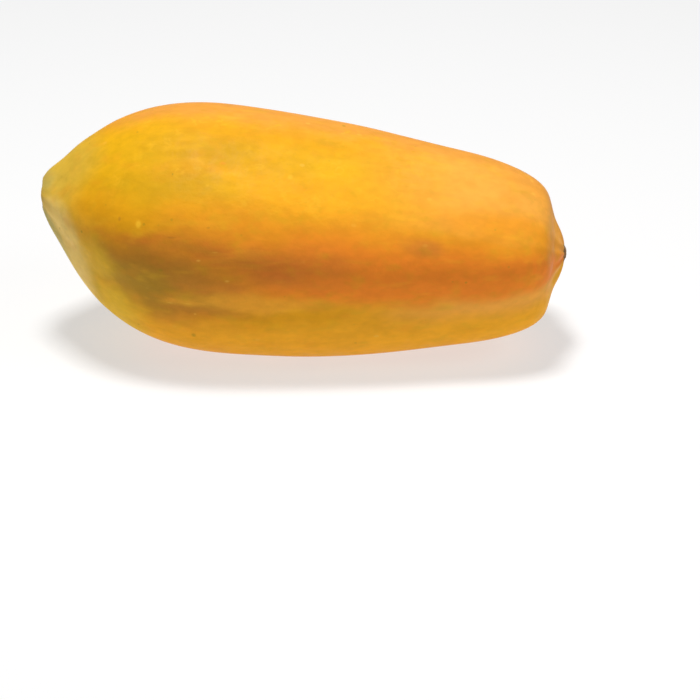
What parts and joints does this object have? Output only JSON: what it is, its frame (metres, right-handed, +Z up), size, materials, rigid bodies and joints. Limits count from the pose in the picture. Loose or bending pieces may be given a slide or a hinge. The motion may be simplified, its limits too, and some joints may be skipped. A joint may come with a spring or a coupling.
{
  "type": "papaya",
  "caption": "Whole ripe papaya of the large long kind, lying on its side: blunt stalk neck, broad lobes, long taper and a blunt flower end.",
  "frame": {"origin": "under the middle of the fruit's box, on the surface that it lies on", "axes": "+X along the fruit from the stalk end to the flower end, +Y to its back side, +Z up"},
  "size_m": [0.279, 0.1338, 0.1329],
  "materials": {
    "papaya_skin": "satin"
  },
  "bodies": {
    "root": {"papaya": "papaya_skin"}
  },
  "joints": []
}
